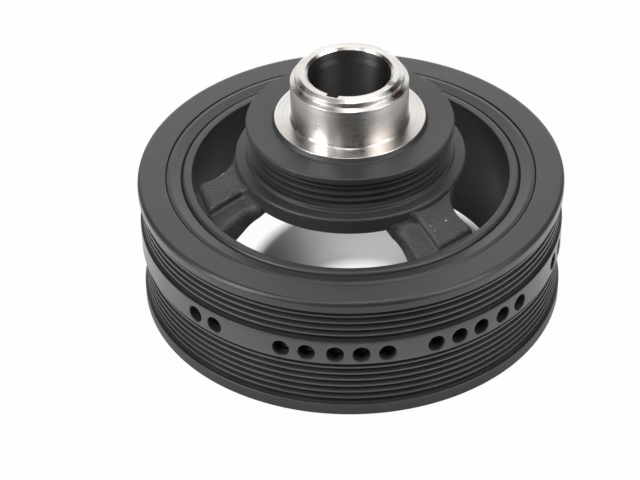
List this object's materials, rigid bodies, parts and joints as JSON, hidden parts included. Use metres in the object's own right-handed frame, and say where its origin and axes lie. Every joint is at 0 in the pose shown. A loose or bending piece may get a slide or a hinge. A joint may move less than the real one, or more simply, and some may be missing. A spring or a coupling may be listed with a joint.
{
  "type": "harmonic balancer",
  "caption": "Crankshaft harmonic balancer: spoked cast hub with seal journal and small grooved pulley, rubber-bonded inertia ring with two belt groove sets.",
  "frame": {"origin": "centre of the ring's lower face, on the shaft's axis", "axes": "+Z along the shaft's axis towards the seal journal, which is the engine side; the line that the balance holes mirror across points 74.5 degrees from +X towards -Y"},
  "size_m": [0.2, 0.2, 0.1195],
  "materials": {
    "painted_hub": "dark grey satin paint over cast iron, with the boss face, seal journal and bore turned bare",
    "painted_rubber": "rubber under a worn film of the same dark grey paint",
    "painted_ring": "dark grey satin paint over turned cast iron"
  },
  "bodies": {
    "root": {"hub": "painted_hub", "rubber_sleeve": "painted_rubber", "inertia_ring": "painted_ring"}
  },
  "joints": []
}
